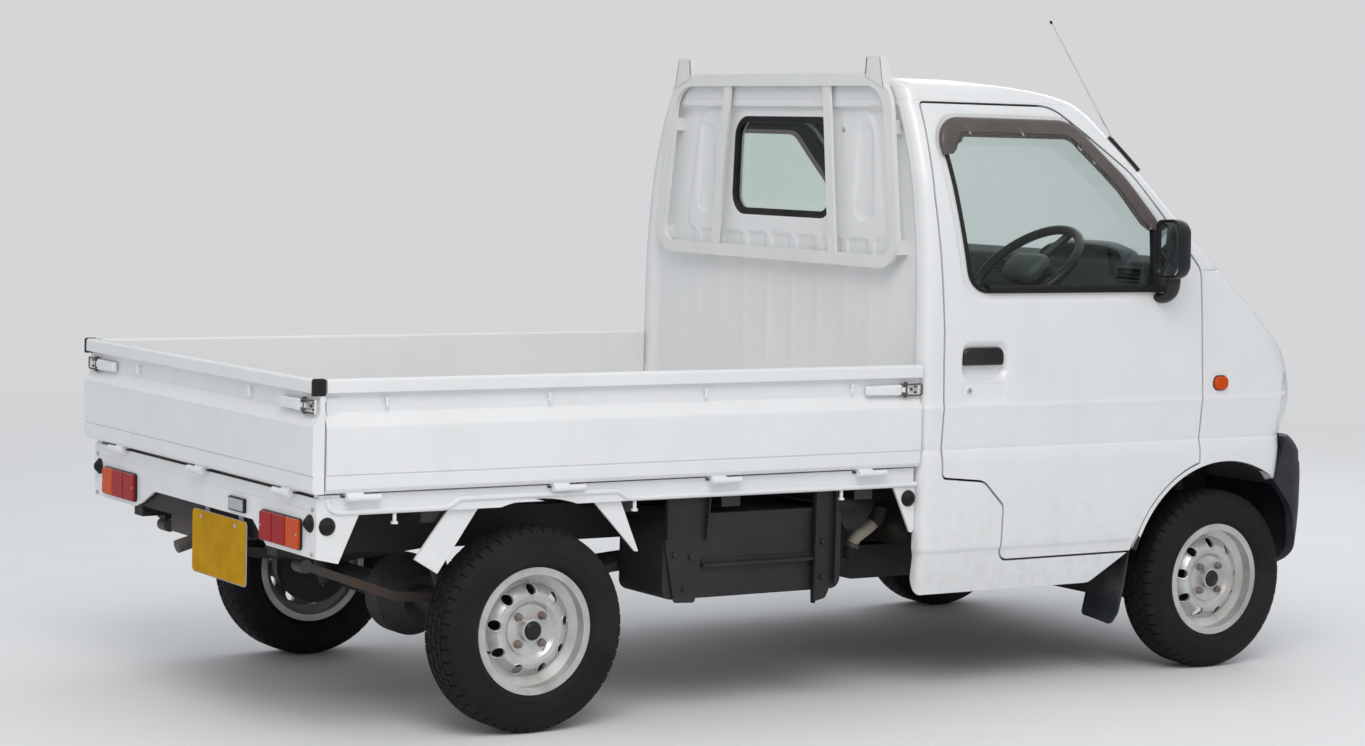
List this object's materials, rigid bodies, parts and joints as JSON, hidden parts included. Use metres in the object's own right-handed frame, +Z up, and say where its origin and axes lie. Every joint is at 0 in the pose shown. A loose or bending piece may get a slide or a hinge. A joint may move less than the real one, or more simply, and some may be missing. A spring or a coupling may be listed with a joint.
{
  "type": "small drop-side pickup truck",
  "caption": "Small cab-over pickup truck with opening doors, a drop-side load bed with hinged gates, a guard frame, turning wheels and coupled steering.",
  "frame": {"origin": "on the ground under the middle of the vehicle's overall length and width", "axes": "+X forward, +Y to the vehicle's left, +Z up"},
  "size_m": [3.3895, 1.7436, 1.8956],
  "materials": {
    "body_white": "glossy solid white paint",
    "tyre": "worn black rubber",
    "wheel_silver": "silver paint on pressed steel",
    "glass": "clear, lightly tinted",
    "black_plastic": "grained dark grey plastic",
    "rubber": "matt black rubber",
    "chassis_black": "satin black underbody paint",
    "cast_metal": "rough grey casting",
    "spring_steel": "dark oiled steel",
    "exhaust_steel": "heat-browned steel",
    "seat_vinyl": "dark grey vinyl",
    "dash_plastic": "grey-teal grained plastic",
    "lamp_clear": "clear lens",
    "lamp_red": "red lens with an amber end",
    "plate_yellow": "yellow enamel, blank",
    "guard_white": "white paint on steel strip"
  },
  "bodies": {
    "root": {"antenna": "black_plastic", "back_panel": "body_white", "bed_floor": "body_white", "bed_rails": "body_white", "cab_floor": "body_white", "chassis_frame": "chassis_black", "dashboard": "dash_plastic", "engine": "cast_metal", "exhaust": "exhaust_steel", "front_bumper": "black_plastic", "front_drive": "cast_metal", "front_panel": "body_white", "fuel_tank": "chassis_black", "guard_bars": "guard_white", "guard_frame": "guard_white", "headlamps": "lamp_clear", "leaf_springs": "spring_steel", "licence_plate": "plate_yellow", "lower_arms": "chassis_black", "mud_flaps": "rubber", "mudguards": "body_white", "rear_axle": "cast_metal", "rear_panel": "body_white", "rear_window": "glass", "roof": "body_white", "seats": "seat_vinyl", "side_frame_left": "body_white", "side_frame_right": "body_white", "tail_lamps": "lamp_red", "windscreen": "glass"},
    "door_left": {"door_left": "body_white", "door_glass_left": "glass", "mirror_left": "black_plastic"},
    "door_right": {"door_right": "body_white", "door_glass_right": "glass", "mirror_right": "black_plastic"},
    "gate_left": {"gate_left": "body_white"},
    "gate_right": {"gate_right": "body_white"},
    "tailgate": {"tailgate": "body_white"},
    "steering_wheel": {"steering_wheel": "black_plastic"},
    "knuckle_left": {"knuckle_left": "cast_metal"},
    "knuckle_right": {"knuckle_right": "cast_metal"},
    "wheel_front_left": {"rim_front_left": "wheel_silver", "tyre_front_left": "tyre"},
    "wheel_front_right": {"rim_front_right": "wheel_silver", "tyre_front_right": "tyre"},
    "wheel_rear_left": {"rim_rear_left": "wheel_silver", "tyre_rear_left": "tyre"},
    "wheel_rear_right": {"rim_rear_right": "wheel_silver", "tyre_rear_right": "tyre"}
  },
  "joints": [
    {"name": "door_left", "type": "hinge", "parent": "root", "child": "door_left", "pos_m": [1.184, 0.724, 0.84], "axis": [0, 0, -1], "range_deg": [0, 65]},
    {"name": "door_right", "type": "hinge", "parent": "root", "child": "door_right", "pos_m": [1.184, -0.724, 0.84], "axis": [0, 0, 1], "range_deg": [0, 65]},
    {"name": "gate_left", "type": "hinge", "parent": "root", "child": "gate_left", "pos_m": [-0.74, 0.728, 0.637], "axis": [-1, 0, 0], "range_deg": [0, 175]},
    {"name": "gate_right", "type": "hinge", "parent": "root", "child": "gate_right", "pos_m": [-0.74, -0.728, 0.637], "axis": [1, 0, 0], "range_deg": [0, 175]},
    {"name": "tailgate", "type": "hinge", "parent": "root", "child": "tailgate", "pos_m": [-1.683, 0, 0.637], "axis": [0, -1, 0], "range_deg": [0, 175]},
    {"name": "steering", "type": "hinge", "parent": "root", "child": "steering_wheel", "pos_m": [0.865, -0.33, 1.18], "axis": [-0.6428, 0, 0.766], "range_deg": [-560, 560]},
    {"name": "steer_left", "type": "hinge", "parent": "root", "child": "knuckle_left", "pos_m": [1.317, 0.57, 0.266], "axis": [0, -0.1736, 0.9848], "range_deg": [-35, 35]},
    {"name": "steer_right", "type": "hinge", "parent": "root", "child": "knuckle_right", "pos_m": [1.317, -0.57, 0.266], "axis": [0, 0.1736, 0.9848], "range_deg": [-35, 35]},
    {"name": "wheel_front_left", "type": "hinge", "parent": "knuckle_left", "child": "wheel_front_left", "pos_m": [1.317, 0.645, 0.266], "axis": [0, 1, 0], "continuous": true},
    {"name": "wheel_front_right", "type": "hinge", "parent": "knuckle_right", "child": "wheel_front_right", "pos_m": [1.317, -0.645, 0.266], "axis": [0, 1, 0], "continuous": true},
    {"name": "wheel_rear_left", "type": "hinge", "parent": "root", "child": "wheel_rear_left", "pos_m": [-1.033, 0.645, 0.266], "axis": [0, 1, 0], "continuous": true},
    {"name": "wheel_rear_right", "type": "hinge", "parent": "root", "child": "wheel_rear_right", "pos_m": [-1.033, -0.645, 0.266], "axis": [0, 1, 0], "continuous": true}
  ],
  "couplings": [
    {"joint": "steer_left", "follows": "steering", "ratio": 0.0625},
    {"joint": "steer_right", "follows": "steering", "ratio": 0.0625}
  ]
}
